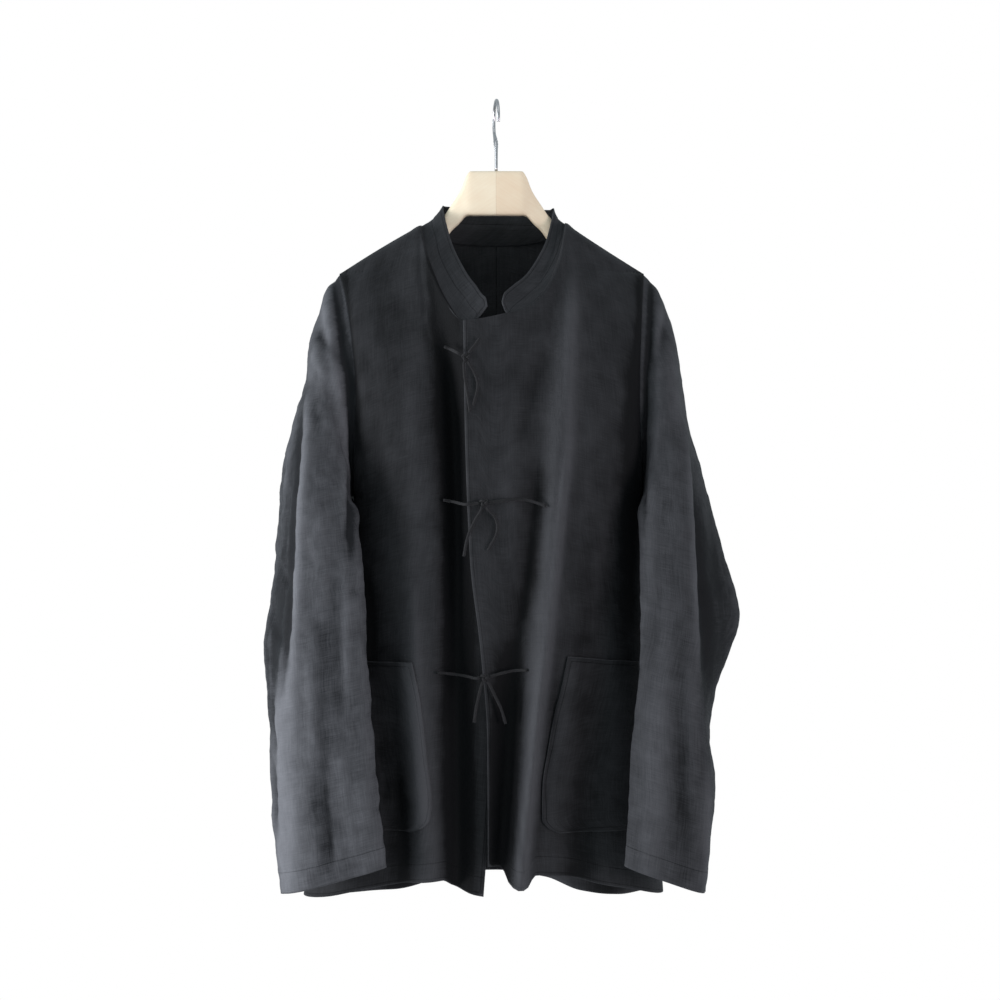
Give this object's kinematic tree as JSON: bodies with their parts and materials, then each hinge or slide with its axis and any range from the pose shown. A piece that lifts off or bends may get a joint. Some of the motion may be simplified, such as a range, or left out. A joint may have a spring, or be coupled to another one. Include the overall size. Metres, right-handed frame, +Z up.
{
  "type": "mandarin collar jacket on a wooden hanger",
  "caption": "Boxy linen jacket with a standing mandarin collar, overlapping tied front, patch pockets and long sleeves, hung on a wooden hanger with a wire hook.",
  "frame": {"origin": "underside of the top of the hanger's hook, where it rests on a rail", "axes": "+Z up, -Y towards the front of the jacket, +X to the right of someone who looks at the front"},
  "size_m": [0.5633, 0.2319, 0.9659],
  "materials": {
    "linen": "washed charcoal plain-weave linen",
    "tie_cord": "narrow rolled tube of the same linen",
    "wood": "pale satin wood",
    "hook_wire": "polished wire"
  },
  "bodies": {
    "root": {"front_under": "linen", "front_over": "linen", "back": "linen", "sleeve_left": "linen", "sleeve_right": "linen", "collar": "linen", "pocket_left": "linen", "pocket_right": "linen", "hanger_wood": "wood", "hanger_hook": "hook_wire", "tie_top_knot": "tie_cord", "tie_top_lead_left": "tie_cord", "tie_top_tail": "tie_cord", "tie_top_end_left": "tie_cord", "tie_top_end_right": "tie_cord", "tie_middle_knot": "tie_cord", "tie_middle_lead_left": "tie_cord", "tie_middle_lead_right": "tie_cord", "tie_middle_end_left": "tie_cord", "tie_middle_end_right": "tie_cord", "tie_low_knot": "tie_cord", "tie_low_lead_left": "tie_cord", "tie_low_lead_right": "tie_cord", "tie_low_end_left": "tie_cord", "tie_low_end_right": "tie_cord"}
  },
  "joints": []
}
